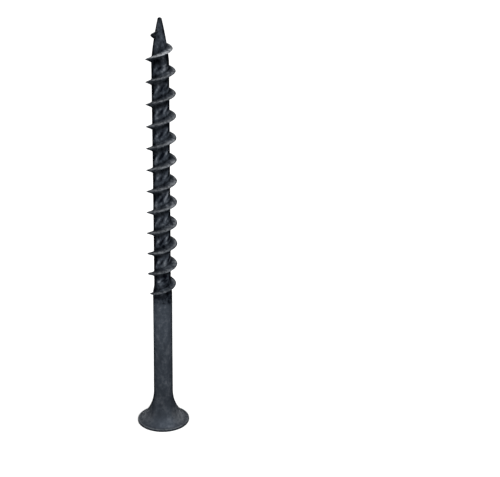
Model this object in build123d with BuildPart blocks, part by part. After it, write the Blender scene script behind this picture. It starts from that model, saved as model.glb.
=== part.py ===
from build123d import *
import math
import os

os.makedirs("parts", exist_ok=True)

# Wood screw with a trumpet-shaped head and a coarse thread, standing on its head. Millimetres.
# The head's flat face is at height 0 and the point is at the top of +Z.

# Overall
overall_length = 61.9

# Head: a thin rim, a small flat lip, then the trumpet curve up to the shank
head_diameter = 7.9
rim_height = 0.34
rim_round = 0.08
lip_width = 0.37
neck_height = 5.15

# Shank and core
shank_diameter = 2.87
core_diameter = 2.48
core_taper_length = 1.5

# Thread: single start, right-handed, 8 turns to the inch
thread_major_diameter = 4.3
thread_pitch = 25.4 / 8
threaded_length = 42.3
run_out_length = 5.2
run_out_overlap = 1.7
flank_angle = 20.0
crest_width = 0.08

# Point
point_length = 5.9
point_bulge = 0.09
point_tip_diameter = 0.64
point_lead = 1.87
point_run_in = 0.6
point_thread_share = 0.55
point_thread_angle = 266.0

# How far inside the body the ridge's crest sinks at its ends, and its root all along, as shares of the radius
crest_sink_share = 0.9
root_sink_share = 0.7

# Cross recess, size 2
recess_span = 5.0
recess_wing = 1.05
recess_hub_diameter = 2.3
recess_depth = 2.6
recess_floor_drop = 0.95
recess_side_angle = 6.0
recess_end_angle = 15.0

# Follow from the sizes above
head_radius = head_diameter / 2
shank_radius = shank_diameter / 2
core_radius = core_diameter / 2
tip_radius = point_tip_diameter / 2
thread_depth = (thread_major_diameter - core_diameter) / 2
flank_slope = math.tan(math.radians(flank_angle))
thread_start = overall_length - threaded_length
thread_end = overall_length - point_lead
core_start = thread_start + run_out_overlap
point_start = overall_length - point_length
thread_turns = (thread_end - thread_start) / thread_pitch

# The ridge is built in half turns, each of its edges through evenly spaced points
points_per_patch = 8
patches = math.ceil(2 * thread_turns)
steps = points_per_patch * patches


def ramp(share):
    """Rises from 0 to 1 and levels off smoothly."""
    return math.sin(min(max(share, 0.0), 1.0) * math.pi / 2)


def body_radius(height):
    """Radius under the thread: shank, short taper, core, then the slightly rounded cone of the point."""
    taper = min(max((height - core_start) / core_taper_length, 0.0), 1.0)
    cone = max((height - point_start) / (point_length - tip_radius), 0.0)
    bulge = 4 * point_bulge * cone * (1 - cone)
    return shank_radius + (core_radius - shank_radius) * taper + (tip_radius - core_radius) * cone + bulge


def crest_radius(height):
    """Edge of the thread, which rises out of the shank, gets lower along the point and sinks into it."""
    sunk = crest_sink_share * body_radius(height)
    along = min(max((height - point_start) / (thread_end - point_start), 0.0), 1.0)
    top = body_radius(height) + thread_depth * (1 - (1 - point_thread_share) * along)
    return sunk + (top - sunk) * ramp((height - thread_start) / run_out_length) * ramp(
        (thread_end - height) / point_run_in
    )


def root_radius(height):
    """Inner edge of the ridge, well inside the body."""
    return root_sink_share * body_radius(height)


def ridge_edge(radius_at, side):
    """Helical edge of the ridge: side is -1 below the crest line and 1 above it."""
    points = []
    for step in range(steps + 1):
        turn = thread_turns * step / steps
        height = thread_start + thread_pitch * turn
        radius = radius_at(height)
        half_width = crest_width / 2 + (crest_radius(height) - radius) * flank_slope
        angle = 2 * math.pi * (turn - thread_turns) + math.radians(point_thread_angle)
        points.append((radius * math.cos(angle), radius * math.sin(angle), height + side * half_width))
    return Edge.make_spline(points, parameters=[step / steps for step in range(steps + 1)])


def thread_ridge():
    """Solid ridge between four helical edges, closed by a flat cap at each end."""
    edges = [
        ridge_edge(root_radius, -1),
        ridge_edge(root_radius, 1),
        ridge_edge(crest_radius, 1),
        ridge_edge(crest_radius, -1),
    ]
    faces = []
    for patch in range(patches):
        sides = [edge.trim(patch / patches, (patch + 1) / patches) for edge in edges]
        for number, side in enumerate(sides):
            faces.append(Face.make_surface_from_curves(side, sides[(number + 1) % 4]))
    for end in (0, 1):
        faces.append(Face(Wire.make_polygon([edge @ end for edge in edges], close=True)))
    return Solid(Shell(faces))


# Tool that forms the recess: four tapered wings round a hub, with a pointed floor
with BuildPart() as recess:
    with BuildSketch():
        Rectangle(recess_span, recess_wing)
        Rectangle(recess_wing, recess_span)
        Circle(recess_hub_diameter / 2)
    extrude(amount=recess_depth, taper=recess_side_angle)
    with BuildSketch(Plane.XZ):
        with BuildLine():
            wall_height = recess_depth - recess_floor_drop
            floor_radius = recess_span / 2 - wall_height * math.tan(math.radians(recess_end_angle))
            Polyline((0, 0), (recess_span / 2, 0), (floor_radius, wall_height), (0, recess_depth), close=True)
        make_face()
    revolve(axis=Axis.Z, mode=Mode.INTERSECT)

with BuildPart() as wood_screw:
    # Head, shank, core and point in one turned shape
    with BuildSketch(Plane.XZ):
        with BuildLine():
            lip_radius = head_radius - lip_width
            flare_run = lip_radius - shank_radius
            flare_rise = neck_height - rim_height
            flare_radius = (flare_run**2 + flare_rise**2) / (2 * flare_run)
            flare_angle = math.degrees(math.asin(flare_rise / flare_radius))
            Polyline((0, 0), (head_radius, 0), (head_radius, rim_height), (lip_radius, rim_height))
            CenterArc((shank_radius + flare_radius, neck_height), flare_radius, 180 + flare_angle, -flare_angle)
            Polyline(
                (shank_radius, neck_height),
                (shank_radius, core_start),
                (core_radius, core_start + core_taper_length),
                (core_radius, point_start),
            )
            middle = (point_start + overall_length - tip_radius) / 2
            ThreePointArc(
                (core_radius, point_start),
                (body_radius(middle), middle),
                (tip_radius, overall_length - tip_radius),
            )
            CenterArc((0, overall_length - tip_radius), tip_radius, 0, 90)
            Line((0, overall_length), (0, 0))
        make_face()
        fillet(vertices().sort_by(Axis.X)[-2:], rim_round)
    revolve(axis=Axis.Z)
    add(thread_ridge())
    add(recess.part, mode=Mode.SUBTRACT)

wood_screw.part.label = "wood_screw"
export_step(wood_screw.part, "parts/wood_screw.step")
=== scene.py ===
import math

import bmesh
import bpy
import numpy as np
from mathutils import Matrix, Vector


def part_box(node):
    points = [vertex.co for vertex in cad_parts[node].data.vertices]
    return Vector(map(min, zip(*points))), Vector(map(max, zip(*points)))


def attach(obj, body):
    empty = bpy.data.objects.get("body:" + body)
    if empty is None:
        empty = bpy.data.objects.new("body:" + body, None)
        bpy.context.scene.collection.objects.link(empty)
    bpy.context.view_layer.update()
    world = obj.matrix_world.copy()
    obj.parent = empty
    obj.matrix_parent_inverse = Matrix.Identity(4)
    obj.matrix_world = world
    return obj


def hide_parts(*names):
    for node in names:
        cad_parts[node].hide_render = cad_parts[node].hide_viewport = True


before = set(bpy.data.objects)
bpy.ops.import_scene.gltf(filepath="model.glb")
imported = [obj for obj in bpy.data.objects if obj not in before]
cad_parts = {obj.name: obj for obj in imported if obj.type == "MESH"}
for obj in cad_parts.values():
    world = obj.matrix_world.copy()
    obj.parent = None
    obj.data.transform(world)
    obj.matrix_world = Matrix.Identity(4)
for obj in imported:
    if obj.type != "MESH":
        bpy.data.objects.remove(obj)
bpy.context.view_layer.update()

# A steel wood screw with a black phosphate coat, standing on its head. The whole screw is one skin: the
# cross recess, the flat face, the rim, the trumpet-shaped neck, the plain shank, the thread and the
# point. Lengths are in millimetres until the mesh is made.

MM = 0.001
low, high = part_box("wood_screw")
LENGTH = (high.z - low.z) / MM
HEAD_RADIUS = (high.x - low.x) / 2 / MM

# Head
RIM_HEIGHT = 0.34
RIM_ROUND = 0.07
LIP_WIDTH = 0.37
LIP_RISE = 0.03
NECK_HEIGHT = 5.15

# Shank, core and point
NECK_RADIUS = 1.46
SHANK_RADIUS = 1.435
NECK_FADE = 9.0
CORE_RADIUS = 1.24
CORE_START = 21.3
TAPER_LENGTH = 1.5
POINT_LENGTH = 5.9
POINT_ROUNDING = 0.385
TIP_RADIUS = 0.32
BOW = 0.05

# Thread: single start, right-handed
PITCH = 25.4 / 8
MAJOR_RADIUS = 2.17
THREAD_START = 19.6
RUN_OUT = 5.2
POINT_LEAD = 1.87
POINT_RUN_IN = 0.6
POINT_SHARE = 0.55
POINT_THREAD_ANGLE = 266.0
FLANK_ANGLE = 19.0
CREST_HALF_WIDTH = 0.05
ROOT_SOFTNESS = 0.12
SWELL_HEIGHT = 34.0
SWELL_REACH = 15.0
STUB_LENGTH = 1.6
STUB_FADE = 0.9
STUB_LIFT = 0.17
STUB_BLUNTNESS = 0.12

# Cross recess, size 2
WING_LENGTH = 2.5
WING_HALF_WIDTH = 0.525
WING_CORNER = 0.14
HUB_FILLET = 1.0
MOUTH_ROUND = 0.06
RECESS_DEPTH = 2.6
FLOOR_DROP = 0.95
SIDE_TAPER = 6.0
END_TAPER = 15.0

# Rubbed metal and painted highlights: how strongly, over how many millimetres of the axis, and towards which
# side in degrees. The recess edge is rubbed, the thread is rubbed and has a painted highlight where its
# upper flank faces the light, and the rim's corner and the flare's sides get painted highlights.
TURN_WEAR_AND_HIGHLIGHT = 0.85
FIRST_TURN_WEAR_AND_HIGHLIGHT = 1.3
FIRST_TURN_LEAD = 0.85
FIRST_TURN_REACH = 0.75
LOWEST_TURN_WEAR_AND_HIGHLIGHT = 0.55
WEAR_AND_HIGHLIGHT_GROWTH = 9.0
FAINT_SIDE = 322.0
FAINT_SPREAD = 50.0
RIM_HIGHLIGHT = 0.55
FLARE_HIGHLIGHT = 0.45
FLARE_HIGHLIGHT_RADIUS = 2.9
FLARE_HIGHLIGHT_REACH = 0.75
FLARE_HIGHLIGHT_SPREAD = 38.0
RECESS_EDGE_WEAR = 0.6
EDGE_SHARE = 0.85

# Painted shade, which darkens the coat: below and above the crest, in millimetres, and at the core's left
# and right edges as seen from the front, in degrees. It also lies on the rim's side and the neck.
SHADE_BELOW = 0.65
SHADE_ABOVE = 0.5
LEFT_SHADE_ANGLE = 213.0
RIGHT_SHADE_ANGLE = 343.0
EDGE_SHADE_WIDTH = 15.0
EDGE_SHADE_DEPTH = 0.8
RIM_SIDE_SHADE = 0.85
NECK_SHADE = 0.36
NECK_SHADE_END = 16.0
NECK_SHADE_FADE = 5.0

# Painted highlights in lanes on the core, the painted shade that makes the rolled core darker than the
# shank, and the painted sheen on the flare
HIGHLIGHT_LANE_COUNT = 6
HIGHLIGHT_LANE_BRIGHTNESS = 1.3
HIGHLIGHT_LANE_HALF_LENGTH = 0.42
HIGHLIGHT_LANE_TURN = 248.0
HIGHLIGHT_LANE_SLANT = 30.0
GAP_MIDDLE = 1.6
CORE_SHADE = 0.8
CONE_SHADE = 0.35
FLARE_SHEEN = 0.7

# How uneven the coat is, from 0 to 1, on the plain blank, the flare and the rolled core
BLANK_MOTTLE = 0.3
FLARE_MOTTLE = 0.14
ROLLED_MOTTLE = 0.85

# Sizes of the coat's patterns in millimetres
PATCH_SIZE = 1.3
GRAIN_SIZE = 0.45
GRAIN_RELIEF = 0.02

# How far the painted light and shade move the coat's tone, and the share of its colour that is left under
# painted shade
PAINTED_LIGHT_STRENGTH = 0.095
SHADED_SHARE = 0.3

# Fineness of the skin, and how far its thread strip runs past the thread at both ends
HEAD_COLUMNS = 192
THREAD_COLUMNS = 96
STRIP_ROWS = 31
STRIP_MARGIN = 0.6

# Follow from the sizes above
FULL_DEPTH = MAJOR_RADIUS - CORE_RADIUS
THREAD_END = LENGTH - POINT_LEAD
POINT_START = LENGTH - POINT_LENGTH
STRIP_LOW = THREAD_START - STRIP_MARGIN
STRIP_HIGH = THREAD_END + STRIP_MARGIN


def smooth_step(share):
    """Rises from 0 to 1 along a cubic that is level at both ends."""
    share = np.clip(share, 0, 1)
    return share * share * (3 - 2 * share)


def ramp_up(value, start, run):
    """Smooth step from 0 to 1 that begins where a value reaches the start and takes the given run."""
    return smooth_step((value - start) / run)


def bell(value, middle, width):
    """Gaussian curve: 1 in the middle, and 1/e a width away from it."""
    return np.exp(-(((value - middle) / width) ** 2))


def quarter_sine(share):
    """Rises from 0 to 1 along the first quarter of a sine wave."""
    return np.sin(np.clip(share, 0, 1) * math.pi / 2)


def degrees_from(place, angle):
    """Degrees round the axis from a place, kept between -180 and 180 so that no turn's end shows."""
    return np.mod(np.degrees(angle) - place + 180, 360) - 180


def turned(radius, angle, height):
    """Points at a radius and an angle round the axis, at a height on it."""
    radius, angle, height = np.broadcast_arrays(radius, angle, height)
    return np.stack((radius * np.cos(angle), radius * np.sin(angle), height), axis=-1)


def core_radius(height):
    """Radius under the thread: the neck fades into the shank, the shank tapers softly to the core, and
    the point is a cone that a parabola rounds a little outwards."""
    neck = smooth_step((NECK_HEIGHT + NECK_FADE - height) / NECK_FADE)
    shank = SHANK_RADIUS + (NECK_RADIUS - SHANK_RADIUS) * neck
    taper = ramp_up(height, CORE_START, TAPER_LENGTH)
    cone = np.clip((height - POINT_START) / (POINT_LENGTH - TIP_RADIUS), 0, 1)
    cone = cone - POINT_ROUNDING * cone * (1 - cone)
    return shank + (CORE_RADIUS - shank) * taper + (TIP_RADIUS - CORE_RADIUS) * cone


def ridge_height(crest):
    """Height of the thread over the core, by the height of its crest on the axis. It rises along a
    quarter sine out of the shank, swells a little in the middle, falls in a straight line along the point
    and ends in a short step. Two small sine waves make it waver by about 2%."""
    rise = quarter_sine((crest - THREAD_START) / RUN_OUT)
    fall = quarter_sine((THREAD_END - crest) / POINT_RUN_IN)
    fall = fall * (1 - (1 - POINT_SHARE) * np.clip((crest - POINT_START) / (THREAD_END - POINT_START), 0, 1))
    swell = 0.92 + 0.12 * bell(crest, SWELL_HEIGHT, SWELL_REACH)
    waver = 1 + 0.015 * np.sin(crest * 5.9) + 0.01 * np.sin(crest * 14.3 + 1.0)
    return FULL_DEPTH * rise * fall * swell * waver


def ridge(offset, depth, half_width):
    """Thread profile across its crest: two straight flanks under a narrow crest, that run into the core
    with a hyperbola. The offset from the crest is rounded by the crest's half width, and the drop by the
    root's softness."""
    slope = math.tan(math.radians(FLANK_ANGLE))
    run = np.sqrt(offset**2 + half_width**2) - half_width
    drop = depth - run / slope
    softness = ROOT_SOFTNESS * depth / FULL_DEPTH
    return (drop + np.sqrt(drop**2 + softness**2)) / 2


def rolled_share(height):
    """1 where the dies rolled the blank, falling softly to 0 at the thread's start."""
    return ramp_up(height, THREAD_START + 0.1, 0.5)


def thread_wear_and_highlight(crest, angle, across, depth, share, first_turn):
    """Rubbed metal and a painted highlight on the thread. It takes the outer part of the upper flank, which
    faces the light, but not the crest's own edge. The first full turn gets a stronger painted highlight,
    further down its flank and on its edge too. It fades where the thread is low and towards the lowest
    turns, and is fainter on one side of those."""
    flank = ramp_up(share, 0.3 - 0.2 * first_turn, 0.5) * smooth_step(0.3 + across / 0.12)
    edge = ramp_up(share, EDGE_SHARE, 0.15) * (1 - first_turn)
    wear_and_highlight = flank * (1 - edge) * (TURN_WEAR_AND_HIGHLIGHT + FIRST_TURN_WEAR_AND_HIGHLIGHT * first_turn) * np.clip(depth / 0.6, 0, 1)
    growth = ramp_up(crest, THREAD_START + 2, WEAR_AND_HIGHLIGHT_GROWTH)
    wear_and_highlight = wear_and_highlight * (LOWEST_TURN_WEAR_AND_HIGHLIGHT + (1 - LOWEST_TURN_WEAR_AND_HIGHLIGHT) * growth)
    fainter = smooth_step((FAINT_SPREAD - np.abs(degrees_from(FAINT_SIDE, angle))) / 20)
    fainter = fainter * (1 - ramp_up(crest, THREAD_START + 9, 5))
    return wear_and_highlight * (1 - 0.5 * fainter)


def thread_painted_shade(across, depth, share, raised, stub, first_turn):
    """Painted shade on the thread: two bell curves, a broad one in the corner under each turn and a thin one
    over it, and a little on the crest's edge, where it draws a dark painted outline. It also darkens the
    last stub."""
    shade_and_darkening = bell(across, -SHADE_BELOW, 0.35 + 0.15 * first_turn) + 0.7 * bell(across, SHADE_ABOVE, 0.16)
    shade_and_darkening = shade_and_darkening + 0.5 * ramp_up(share, EDGE_SHARE, 0.1) * (1 - first_turn)
    return shade_and_darkening * np.clip(depth / 0.5, 0, 1) + stub * smooth_step(raised / 0.1)


def core_painted_shade(height, angle, between):
    """Painted shade on the core: two dark bands that run up it near its left and right edges as seen from
    the front, each a bell curve round the axis, and a soft band of painted shade where the point begins,
    under the first full turn. The right band stays in the upper part of each gap."""
    left_edge_shade = bell(degrees_from(LEFT_SHADE_ANGLE, angle), 0, EDGE_SHADE_WIDTH)
    right_edge_shade = bell(degrees_from(RIGHT_SHADE_ANGLE, angle), 0, EDGE_SHADE_WIDTH) * ramp_up(between, -0.5, 0.3)
    edge_shades = EDGE_SHADE_DEPTH * (left_edge_shade + right_edge_shade) * ramp_up(height, CORE_START, 1.0)
    return edge_shades + 0.5 * bell(height, POINT_START - 0.4, 0.8)


def core_light_and_shade(crest, height, angle, across, between):
    """Painted light and shade on the core, against the plain shank. Slanting lanes of painted highlight, a
    cosine round the axis, cross the middle of each gap, with a painted lighter line above each turn. They
    fade in after the first turn and out on the point, and painted shade makes all of the rolled core darker
    than the shank."""
    phase = HIGHLIGHT_LANE_COUNT * (angle - np.radians(HIGHLIGHT_LANE_TURN + HIGHLIGHT_LANE_SLANT * between))
    highlight_lanes = HIGHLIGHT_LANE_BRIGHTNESS * np.cos(phase) * bell(between, 0, HIGHLIGHT_LANE_HALF_LENGTH)
    highlight_lanes = highlight_lanes + 0.7 * bell(across, 0.95, 0.2)
    highlight_lanes = highlight_lanes * ramp_up(crest, THREAD_START + PITCH, 2) * smooth_step((POINT_START + 1 - crest) / 4)
    core_shade_depth = CORE_SHADE + (CONE_SHADE - CORE_SHADE) * ramp_up(height, POINT_START, 1.5)
    return highlight_lanes - core_shade_depth * rolled_share(height)


def thread_strip():
    """One strip a pitch wide, wound round the axis so that its upper edge meets its own lower edge a turn
    later. Its heights are held between two level circles, where it starts and ends at no width. Rows
    crowd to the crest: their offsets from it are a straight line plus a power of 2.2."""
    spread = np.linspace(-1, 1, STRIP_ROWS)
    offsets = PITCH / 2 * np.sign(spread) * (0.18 * np.abs(spread) + 0.82 * np.abs(spread) ** 2.2)
    step = PITCH / THREAD_COLUMNS
    zero_height = THREAD_END - PITCH * POINT_THREAD_ANGLE / 360
    first = math.floor((STRIP_LOW - PITCH / 2 - zero_height) / step)
    last = math.ceil((STRIP_HIGH + PITCH / 2 - zero_height) / step)
    column = np.arange(first, last + 1)[:, None]
    angle = (column % THREAD_COLUMNS) * (2 * math.pi / THREAD_COLUMNS)
    crest = zero_height + column * step
    height = np.clip(crest + offsets, STRIP_LOW, STRIP_HIGH)
    depth = ridge_height(crest)
    # The last half turn is blunter and a little higher than the helix takes it
    stub = ramp_up(crest, THREAD_END - STUB_LENGTH, STUB_FADE)
    across = height - crest - STUB_LIFT * stub
    raised = ridge(across, depth, CREST_HALF_WIDTH + STUB_BLUNTNESS * stub)
    # Where a point lies: how far up the flank, how near the first full turn, and how far across the gap
    share = raised / np.maximum(depth, 0.05)
    first_turn = bell(crest, POINT_START + FIRST_TURN_LEAD, FIRST_TURN_REACH)
    core = 1 - smooth_step(raised / 0.15)
    between = np.mod(across, PITCH) - GAP_MIDDLE
    # The marks: rubbed metal with painted highlights, painted shade round the turns and at the core's edges,
    # and painted light and shade on the core
    wear_and_highlight = thread_wear_and_highlight(crest, angle, across, depth, share, first_turn)
    shade_and_darkening = thread_painted_shade(across, depth, share, raised, stub, first_turn)
    shade_and_darkening = np.clip(shade_and_darkening + core * core_painted_shade(height, angle, between), 0, 1)
    painted_light = core * core_light_and_shade(crest, height, angle, across, between)
    mottle = BLANK_MOTTLE + (ROLLED_MOTTLE - BLANK_MOTTLE) * rolled_share(height)
    return turned(core_radius(height) + raised, angle, height), wear_and_highlight, shade_and_darkening, painted_light, mottle


def point_rows():
    """Cone above the thread and its round nose, as rows that shrink to a single point."""
    cone_heights = np.linspace(STRIP_HIGH, LENGTH - TIP_RADIUS * 0.9, 5)
    swing = np.linspace(0.1, math.pi / 2, 8)[1:]
    nose_heights = LENGTH - TIP_RADIUS + TIP_RADIUS * np.sin(swing)
    heights = np.concatenate((cone_heights, nose_heights))
    radii = np.concatenate((core_radius(cone_heights), TIP_RADIUS * np.cos(swing)))
    angle = np.arange(THREAD_COLUMNS) * (2 * math.pi / THREAD_COLUMNS)
    plain = np.zeros((len(heights), THREAD_COLUMNS))
    # The nose is darker towards its tip, and the cone carries painted shade like the rolled core
    shade_and_darkening = plain + ramp_up(heights[:, None], LENGTH - 0.9, 0.7)
    points = turned(radii[:, None], angle, heights[:, None])
    return points, plain, shade_and_darkening, plain - CONE_SHADE, plain + ROLLED_MOTTLE


def blank_profile():
    """Radii and heights of the blank's outline: two small arcs round the rim, a level lip, the neck's
    arc, which turns tangent to the axis, and the shank up to the strip's lower edge."""
    turn = np.linspace(0, math.pi / 2, 6)
    lower_r = HEAD_RADIUS - RIM_ROUND + RIM_ROUND * np.sin(turn)
    lower_z = RIM_ROUND - RIM_ROUND * np.cos(turn)
    upper_r = HEAD_RADIUS - RIM_ROUND + RIM_ROUND * np.cos(turn)
    upper_z = RIM_HEIGHT - RIM_ROUND + RIM_ROUND * np.sin(turn)
    run = HEAD_RADIUS - LIP_WIDTH - NECK_RADIUS
    rise = NECK_HEIGHT - RIM_HEIGHT - LIP_RISE
    flare_radius = (run**2 + rise**2) / (2 * run)
    sweep = np.linspace(math.asin(rise / flare_radius), 0, 40)
    flare_r = NECK_RADIUS + flare_radius * (1 - np.cos(sweep))
    flare_z = NECK_HEIGHT - flare_radius * np.sin(sweep)
    shank_z = np.linspace(NECK_HEIGHT, STRIP_LOW, 25)[1:]
    radii = np.concatenate((lower_r, upper_r, flare_r, core_radius(shank_z)))
    return radii, np.concatenate((lower_z, upper_z, flare_z, shank_z))


def blank_rows():
    """Rim, lip, trumpet neck and shank: the blank's outline turned round the axis, as rows of circles.
    The last row has half as many columns, as the thread does."""
    radii, heights = blank_profile()
    column = np.arange(HEAD_COLUMNS)
    angle = np.tile(column * (2 * math.pi / HEAD_COLUMNS), (len(radii), 1))
    ratio = HEAD_COLUMNS // THREAD_COLUMNS
    angle[-1] = (column // ratio) * (2 * math.pi / THREAD_COLUMNS)
    # The rim's side gets none. Its upper corner and the flare's left and right sides get painted highlights,
    # and the flare's sides also get a painted sheen in the coat's tone.
    corner = bell(radii, HEAD_RADIUS - RIM_ROUND - 0.02, 0.05) * (heights > RIM_HEIGHT / 2)
    side = bell(np.degrees(np.arccos(np.abs(np.cos(angle)))), 0, FLARE_HIGHLIGHT_SPREAD)
    above_rim = heights > RIM_HEIGHT
    side_highlight = (bell(radii, FLARE_HIGHLIGHT_RADIUS, FLARE_HIGHLIGHT_REACH) * above_rim)[:, None] * side
    wear_and_highlight = RIM_HIGHLIGHT * corner[:, None] + FLARE_HIGHLIGHT * side_highlight
    # Painted shade covers the rim's side and falls on the neck and the lower shank, and the flare is darker
    # low down by the rim
    shade_and_darkening = RIM_SIDE_SHADE * smooth_step((RIM_HEIGHT - 0.03 - heights) / 0.05) + 0.2 * bell(heights, 4.0, 2.0)
    shade_and_darkening = shade_and_darkening + NECK_SHADE * smooth_step((NECK_SHADE_END - heights) / NECK_SHADE_FADE) * ramp_up(heights, 0.8, 1.5)
    shade_and_darkening = shade_and_darkening + 0.2 * smooth_step((2.8 - heights) / 1.0) * above_rim
    mottle = BLANK_MOTTLE + (FLARE_MOTTLE - BLANK_MOTTLE) * smooth_step((3.0 - heights) / 1.5)
    across = np.ones(HEAD_COLUMNS)
    points = turned(radii[:, None], angle, heights[:, None])
    return points, wear_and_highlight, shade_and_darkening[:, None] * across, FLARE_SHEEN * side_highlight, mottle[:, None] * across


def cross_outline():
    """Outline of the recess at the face and its outward normals. A quarter is half a wing's end, a small
    corner arc, a wing side, the hub's hollow arc, and the same again mirrored; it is walked at an even
    pace."""
    corner_x = WING_LENGTH - WING_CORNER
    corner_y = WING_HALF_WIDTH - WING_CORNER
    hub = WING_HALF_WIDTH + HUB_FILLET
    corner = np.linspace(0, math.pi / 2, 24)
    hollow = np.linspace(1.5 * math.pi, 1.25 * math.pi, 24)
    x = np.concatenate((
        [WING_LENGTH],
        corner_x + WING_CORNER * np.cos(corner),
        hub + HUB_FILLET * np.cos(hollow),
    ))
    y = np.concatenate((
        [0.0],
        corner_y + WING_CORNER * np.sin(corner),
        hub + HUB_FILLET * np.sin(hollow),
    ))
    x, y = np.concatenate((x, y[-2::-1])), np.concatenate((y, x[-2::-1]))
    walked = np.concatenate(([0], np.cumsum(np.hypot(np.diff(x), np.diff(y)))))
    pace = np.linspace(0, walked[-1], HEAD_COLUMNS // 4 + 1)[:-1]
    quarter = np.interp(pace, walked, x) + 1j * np.interp(pace, walked, y)
    outline = np.concatenate([quarter * 1j**number for number in range(4)])
    tangent = np.roll(outline, -1) - np.roll(outline, 1)
    return outline, -1j * tangent / np.abs(tangent)


def face_and_recess():
    """Flat face, recess mouth, tapered walls and sloping floor, as rows from the rim to the centre of the
    floor."""
    outline, normal = cross_outline()
    column = np.arange(HEAD_COLUMNS)
    circle = (HEAD_RADIUS - RIM_ROUND) * np.exp(2j * math.pi * column / HEAD_COLUMNS)
    mouth = outline + normal * MOUTH_ROUND
    share = np.linspace(0, 1, 9)[:, None]
    face = circle + (mouth - circle) * share
    face_z = np.zeros(face.shape)
    turn = np.linspace(0, math.pi / 2, 5)[1:, None]
    lip = outline + normal * MOUTH_ROUND * (1 - np.sin(turn))
    lip_z = MOUTH_ROUND * (1 - np.cos(turn)) + np.zeros(lip.shape)
    # Walls lean in by the side taper, and more at the wing ends, where the normal points away from the axis
    facing = np.clip((normal * np.conj(outline / np.abs(outline))).real, 0, 1) ** 8
    lean = np.tan(np.radians(SIDE_TAPER + (END_TAPER - SIDE_TAPER) * facing))
    wall_end = RECESS_DEPTH - FLOOR_DROP
    floor_radius = WING_LENGTH - wall_end * math.tan(math.radians(END_TAPER))
    bottom = np.full(HEAD_COLUMNS, wall_end)
    # Lean and floor slope together set where a wall meets the floor; eight passes settle it
    for _ in range(8):
        reach = np.abs(outline - normal * lean * bottom)
        bottom = RECESS_DEPTH - FLOOR_DROP * reach / floor_radius
    wall_z = MOUTH_ROUND + (bottom - MOUTH_ROUND) * np.linspace(0, 1, 10)[1:, None]
    wall = outline - normal * lean * (wall_z - MOUTH_ROUND)
    inward = np.linspace(1, 0, 9)[1:, None]
    floor = wall[-1] * inward
    floor_z = RECESS_DEPTH - FLOOR_DROP * np.abs(floor) / floor_radius
    plan = np.concatenate((face, lip, wall, floor))
    height = np.concatenate((face_z, lip_z, wall_z, floor_z))
    wear_and_highlight = np.zeros(plan.shape)
    wear_and_highlight[len(face) - 1:len(face) + len(lip)] = RECESS_EDGE_WEAR
    # The recess walls and floor are darkened fully with painted shade
    shade_and_darkening = np.zeros(plan.shape)
    shade_and_darkening[len(face) + len(lip):] = 1.0
    plain = np.zeros(plan.shape)
    return np.stack((plan.real, plan.imag, height), axis=-1), wear_and_highlight, shade_and_darkening, plain, plain + BLANK_MOTTLE


def grid_faces(rows, columns, start, closed):
    """Quads between neighbouring rows and columns of a grid; a closed grid also joins its last column to
    its first."""
    row = np.arange(rows - 1)[:, None] * columns
    next_row = row + columns
    column = np.arange(columns if closed else columns - 1)
    next_column = (column + 1) % columns
    corners = (row + column, row + next_column, next_row + next_column, next_row + column)
    return start + np.stack(corners, axis=-1).reshape(-1, 4)


def skin(name, grids):
    """One mesh object from several grids of points: their shared edges are welded and its faces turned
    outwards."""
    points, marks, faces, start = [], [], [], 0
    for (grid, *values), closed in grids:
        rows, columns = grid.shape[:2]
        points.append(grid.reshape(-1, 3) * MM)
        marks.append([value.reshape(-1) for value in values])
        faces.append(grid_faces(rows, columns, start, closed))
        start += rows * columns
    points = np.concatenate(points)
    points[:, 0] += BOW * MM * np.sin(math.pi * points[:, 2] / (LENGTH * MM))
    mesh = bpy.data.meshes.new(name)
    mesh.from_pydata(points, [], np.concatenate(faces).tolist())
    # Attributes in order: rubbed metal with painted highlights, painted shade with some other darkening,
    # painted light and shade, and the coat's mottle
    for mark, values in zip(("wear_and_highlight", "shade_and_darkening", "painted_light", "mottle"), np.concatenate(marks, axis=1)):
        attribute = mesh.attributes.new(mark, "FLOAT", "POINT")
        attribute.data.foreach_set("value", values.astype(np.float32))
    work = bmesh.new()
    work.from_mesh(mesh)
    bmesh.ops.remove_doubles(work, verts=work.verts, dist=0.0002 * MM)
    bmesh.ops.recalc_face_normals(work, faces=work.faces)
    work.to_mesh(mesh)
    work.free()
    mesh.shade_smooth()
    piece = bpy.data.objects.new(name, mesh)
    bpy.context.scene.collection.objects.link(piece)
    return piece


def linear(hex_colour):
    """Linear RGBA of an sRGB hex colour such as 2A2D33."""
    value = np.array([int(hex_colour[i:i + 2], 16) for i in (0, 2, 4)]) / 255
    value = np.where(value <= 0.04045, value / 12.92, ((value + 0.055) / 1.055) ** 2.4)
    return (*value.tolist(), 1.0)


def node(tree, kind, settings=None, links=None, **attributes):
    """Adds a node of a kind with its attributes, input values and the sockets that feed its inputs."""
    made = tree.nodes.new(kind)
    for key, value in attributes.items():
        setattr(made, key, value)
    for key, value in (settings or {}).items():
        made.inputs[key].default_value = value
    for key, socket in (links or {}).items():
        tree.links.new(socket, made.inputs[key])
    return made


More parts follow.
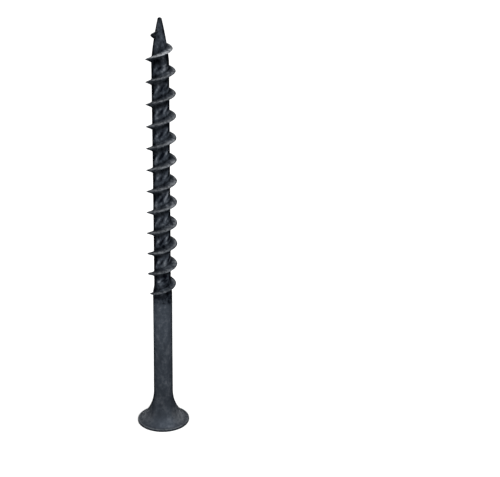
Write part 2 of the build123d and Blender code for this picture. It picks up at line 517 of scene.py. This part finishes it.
def black_phosphate_steel():
    """Carbon steel, cold-headed and rolled, then dipped in hot phosphate and oiled. Fine crystals give a
    matt, slightly blue black that mottles from patch to patch. Painted shade darkens the corners, the core's
    edges and the rim's side, and rubbed edges and painted highlights are greyer. The black specular tint
    lets no bright rim show at the edges, because the crystals scatter light at a low angle."""
    material = bpy.data.materials.new("black_phosphate_steel")
    material.use_nodes = True
    tree = material.node_tree
    tree.nodes.clear()
    place = node(tree, "ShaderNodeTexCoord").outputs["Object"]
    lengthwise = node(tree, "ShaderNodeMapping", {"Scale": (1.0, 1.0, 0.6)}, {"Vector": place})
    patches = node(tree, "ShaderNodeTexNoise", {
        "Scale": 1 / (PATCH_SIZE * MM),
        "Detail": 3.0,
        "Roughness": 0.6,
    }, {"Vector": lengthwise.outputs["Vector"]})
    grains = node(tree, "ShaderNodeTexNoise", {
        "Scale": 1 / (GRAIN_SIZE * MM),
        "Detail": 3.0,
        "Roughness": 0.65,
    }, {"Vector": place})
    # Attributes: rubbed metal with painted highlights, painted shade with some other darkening, painted
    # light and shade, and the coat's mottle
    wear_and_highlight = node(tree, "ShaderNodeAttribute", attribute_name="wear_and_highlight").outputs["Fac"]
    shade_and_darkening = node(tree, "ShaderNodeAttribute", attribute_name="shade_and_darkening").outputs["Fac"]
    painted_light = node(tree, "ShaderNodeAttribute", attribute_name="painted_light").outputs["Fac"]
    mottle = node(tree, "ShaderNodeAttribute", attribute_name="mottle").outputs["Fac"]
    # Coat thickness: patches and grains, much evener where the dies didn't roll, with the painted light and
    # shade added. The crystals themselves are about 0.01 mm across, too fine to show, so the grains are
    # drawn far coarser.
    uneven = node(tree, "ShaderNodeMix", {"Factor": 0.45}, {
        "A": patches.outputs["Fac"],
        "B": grains.outputs["Fac"],
    })
    steady = node(tree, "ShaderNodeMix", {"A": 0.5}, {"Factor": mottle, "B": uneven.outputs["Result"]})
    shift = node(tree, "ShaderNodeMath", {1: PAINTED_LIGHT_STRENGTH}, {
        0: painted_light,
        2: steady.outputs["Result"],
    }, operation="MULTIPLY_ADD")
    tone = node(tree, "ShaderNodeValToRGB", links={"Fac": shift.outputs["Value"]})
    tone.color_ramp.elements[0].position = 0.34
    tone.color_ramp.elements[0].color = linear("090C12")
    tone.color_ramp.elements[1].position = 0.7
    tone.color_ramp.elements[1].color = linear("7C8086")
    middle = tone.color_ramp.elements.new(0.5)
    middle.color = linear("353A41")
    # Painted shade, with some other darkening, takes the coat down to a share of its own colour
    shaded = node(tree, "ShaderNodeMapRange", {
        "From Min": 0.0,
        "From Max": 1.0,
        "To Min": 1.0,
        "To Max": SHADED_SHARE,
    }, {"Value": shade_and_darkening})
    coat = node(tree, "ShaderNodeVectorMath", {}, {
        0: tone.outputs["Color"],
        1: shaded.outputs["Result"],
    }, operation="MULTIPLY")
    # Rubbing bares the tops of the grains first, and the painted highlights take the same grains
    chance = node(tree, "ShaderNodeMapRange", {
        "From Min": 0.35,
        "From Max": 0.65,
        "To Min": 0.1,
        "To Max": 0.8,
    }, {"Value": grains.outputs["Fac"]})
    worn_and_lit = node(tree, "ShaderNodeMath", {}, {
        0: wear_and_highlight,
        1: chance.outputs["Result"],
    }, operation="MULTIPLY")
    colour = node(tree, "ShaderNodeMix", {"B": linear("A4A7AB")}, data_type="RGBA")
    tree.links.new(worn_and_lit.outputs["Value"], colour.inputs["Factor"])
    tree.links.new(coat.outputs["Vector"], colour.inputs["A"])
    gloss = node(tree, "ShaderNodeMapRange", {
        "From Min": 0.3,
        "From Max": 0.7,
        "To Min": 0.62,
        "To Max": 0.42,
    }, {"Value": patches.outputs["Fac"]})
    bump = node(tree, "ShaderNodeBump", {
        "Strength": 0.35,
        "Distance": GRAIN_RELIEF * MM,
    }, {"Height": grains.outputs["Fac"]})
    shader = node(tree, "ShaderNodeBsdfPrincipled", {
        "Metallic": 0.7,
        "Specular IOR Level": 0.0,
        "Specular Tint": (0.0, 0.0, 0.0, 1.0),
    }, {
        "Base Color": colour.outputs["Result"],
        "Roughness": gloss.outputs["Result"],
        "Normal": bump.outputs["Normal"],
    })
    node(tree, "ShaderNodeOutputMaterial", links={"Surface": shader.outputs["BSDF"]})
    return material


def pale_paper():
    """Plain white backdrop paper: matt, a touch off white."""
    material = bpy.data.materials.new("pale_paper")
    material.use_nodes = True
    shader = material.node_tree.nodes["Principled BSDF"]
    shader.inputs["Base Color"].default_value = linear("F4F4F4")
    shader.inputs["Roughness"].default_value = 0.9
    shader.inputs["Specular IOR Level"].default_value = 0.1
    return material


def lay_floor():
    """A pale floor under the head: one square that reaches 3 metres each way, past the edges of every
    view."""
    mesh = bpy.data.meshes.new("floor")
    half = 3.0
    corners = [(-half, -half), (half, -half), (half, half), (-half, half)]
    mesh.from_pydata([(x, y, low.z) for x, y in corners], [], [(0, 1, 2, 3)])
    floor = bpy.data.objects.new("floor", mesh)
    floor.data.materials.append(pale_paper())
    bpy.context.scene.collection.objects.link(floor)


def softbox(name, azimuth, elevation, distance, width, height, power):
    """A rectangular area light on a sphere round the middle of the screw, turned to face it."""
    light = bpy.data.lights.new(name, "AREA")
    light.shape = "RECTANGLE"
    light.size = width * MM
    light.size_y = height * MM
    light.energy = power
    lamp = bpy.data.objects.new(name, light)
    turn, tilt = math.radians(azimuth), math.radians(elevation)
    away = np.array((math.sin(turn) * math.cos(tilt), -math.cos(turn) * math.cos(tilt), math.sin(tilt)))
    middle = np.array((0, 0, LENGTH / 2))
    lamp.location = (middle + away * distance) * MM
    lamp.rotation_euler = (math.pi / 2 - tilt, 0, turn)
    bpy.context.scene.collection.objects.link(lamp)


def soft_sun(name, azimuth, elevation, spread, strength):
    """A wide, even light from far off, the same everywhere on the floor."""
    light = bpy.data.lights.new(name, "SUN")
    light.angle = math.radians(spread)
    light.energy = strength
    lamp = bpy.data.objects.new(name, light)
    lamp.location = (0, 0, 0.5)
    lamp.rotation_euler = (math.pi / 2 - math.radians(elevation), 0, math.radians(azimuth))
    bpy.context.scene.collection.objects.link(lamp)


def light_studio():
    """Soft studio light: a pale room, a wide light overhead and a large box on each side."""
    world = bpy.data.worlds.new("studio")
    world.use_nodes = True
    world.node_tree.nodes["Background"].inputs["Color"].default_value = (1, 1, 1, 1)
    world.node_tree.nodes["Background"].inputs["Strength"].default_value = 0.35
    bpy.context.scene.world = world
    soft_sun("overhead", 15, 62, 80, 3.4)
    softbox("left_box", -50, 20, 300, 90, 260, 0.25)
    softbox("right_box", 50, 20, 300, 90, 260, 0.25)


def set_camera():
    """A long lens from in front and above, looking down at the screw."""
    camera = bpy.data.objects.new("camera", bpy.data.cameras.new("camera"))
    camera.data.lens = 77.76
    camera.data.sensor_width = 36.0
    camera.data.clip_start = 0.005
    camera.data.clip_end = 20.0
    camera.location = (13.797 * MM, -148.07 * MM, 83.952 * MM)
    camera.rotation_euler = (math.radians(70.041), math.radians(-1.054), math.radians(0.738))
    bpy.context.scene.collection.objects.link(camera)
    bpy.context.scene.camera = camera
    bpy.context.scene.view_settings.view_transform = "Standard"


screw = skin("coated_screw", [
    (face_and_recess(), True),
    (blank_rows(), True),
    (thread_strip(), False),
    (point_rows(), True),
])
screw.data.materials.append(black_phosphate_steel())
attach(screw, "root")
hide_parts("wood_screw")

lay_floor()
light_studio()
set_camera()
